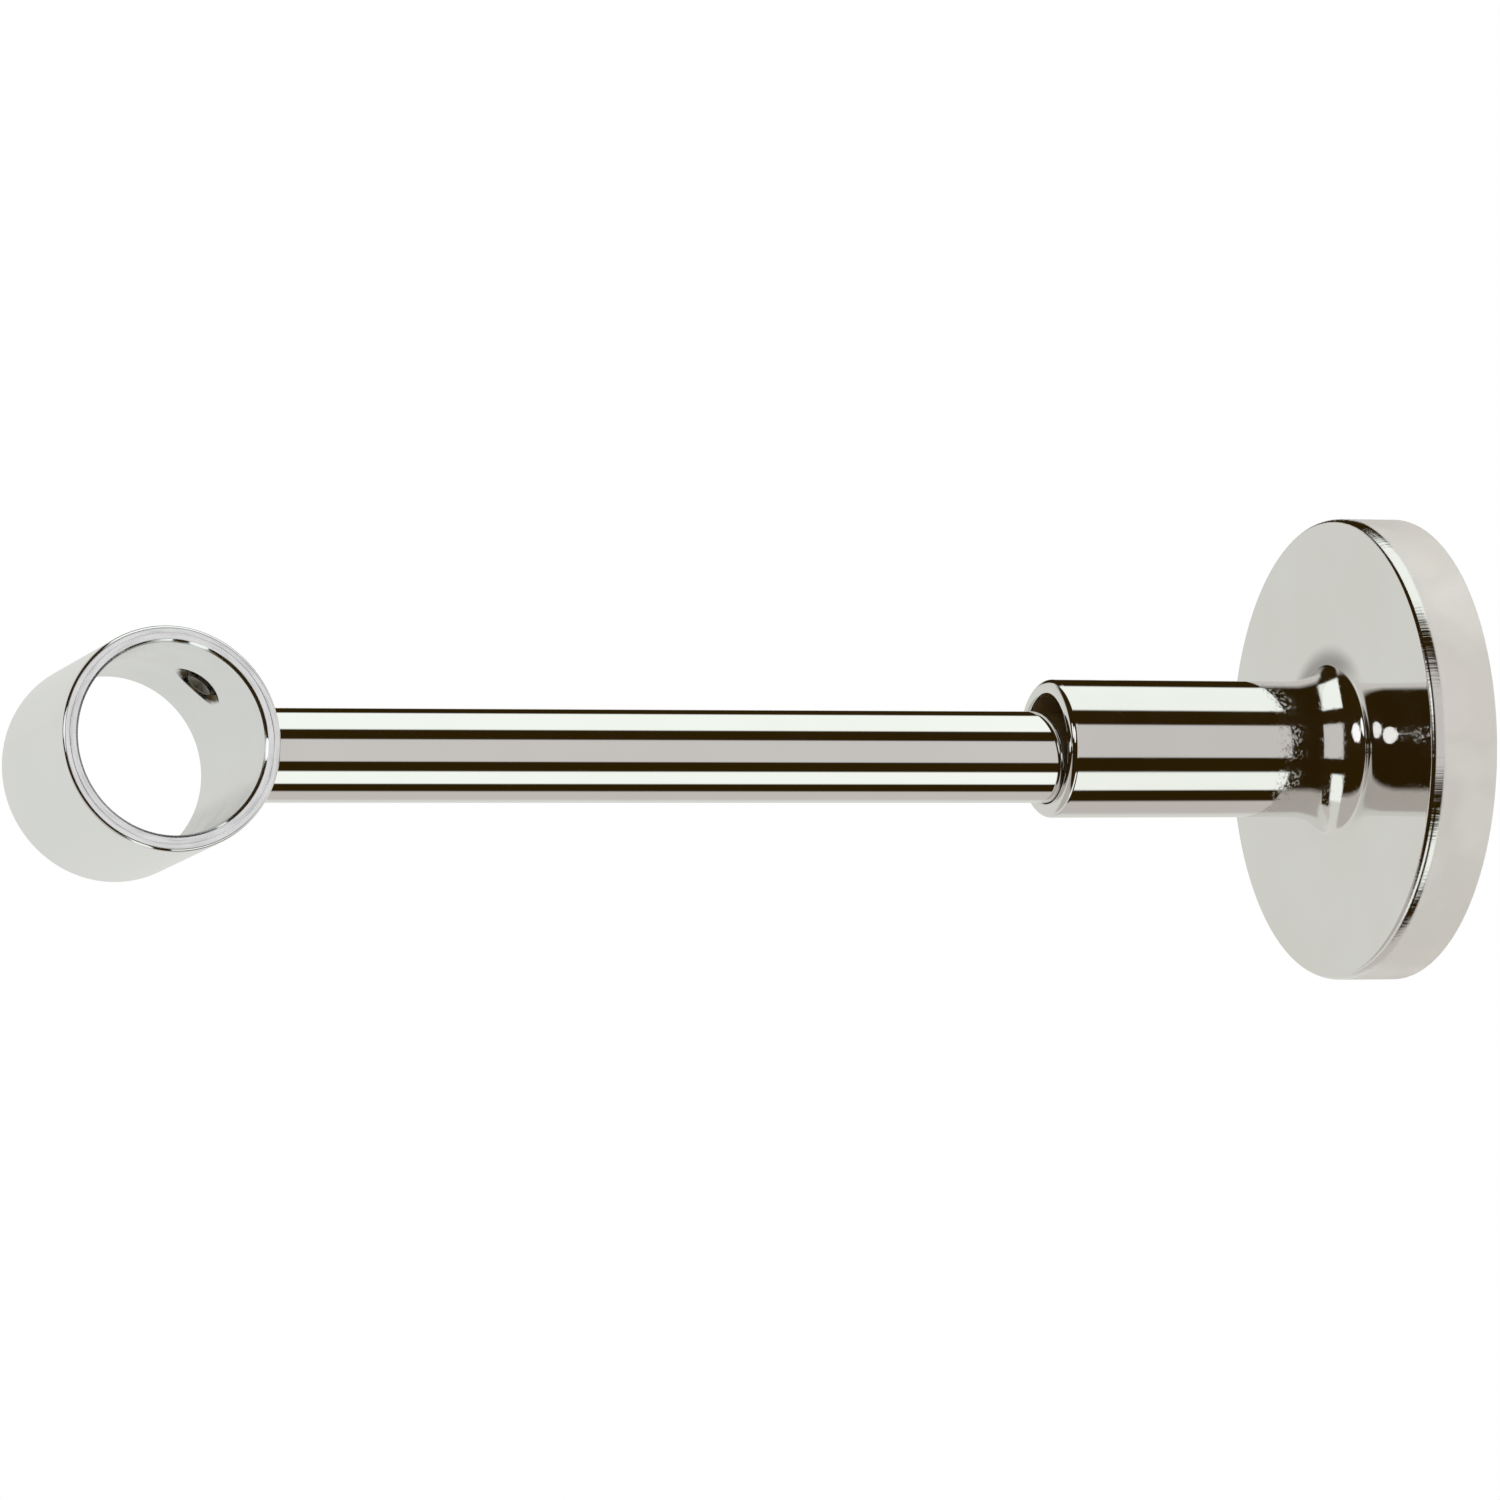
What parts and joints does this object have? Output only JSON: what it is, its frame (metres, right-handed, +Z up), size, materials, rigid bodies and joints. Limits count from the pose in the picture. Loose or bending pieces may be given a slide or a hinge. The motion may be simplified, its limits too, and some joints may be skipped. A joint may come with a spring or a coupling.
{
  "type": "curtain pole bracket",
  "caption": "Chromed wall bracket for a curtain pole: round rose with a socket, a rod arm that slides in it, and a ring that the pole passes through.",
  "frame": {"origin": "centre of the rose's back on the wall, on the axis of the socket", "axes": "+Y into the wall (the arm runs out into the room along -Y), +X along the pole, +Z up"},
  "size_m": [0.051, 0.1576, 0.051],
  "materials": {
    "chromed_casting": "polished nickel-chrome plating over a zinc die casting",
    "chromed_steel": "polished nickel-chrome plating over steel",
    "zinc_plated_steel": "bright zinc plating",
    "screw_steel": "nickel-plated hardened steel"
  },
  "bodies": {
    "rose_assembly": {"wall_rose": "chromed_casting", "wall_plate": "zinc_plated_steel", "plate_stud": "zinc_plated_steel", "arm_grub_screw": "screw_steel"},
    "arm_assembly": {"arm": "chromed_steel", "pole_ring": "chromed_steel"},
    "pole_screw_body": {"pole_grub_screw": "screw_steel"}
  },
  "joints": [
    {"name": "arm_slide", "type": "slide", "parent": "rose_assembly", "child": "arm_assembly", "axis": [0, -1, 0], "range_m": [-0.0075, 0.0075]},
    {"name": "pole_screw", "type": "slide", "parent": "arm_assembly", "child": "pole_screw_body", "axis": [0, 0.6756, 0.7373], "range_m": [-0.003, 0.0007]}
  ]
}
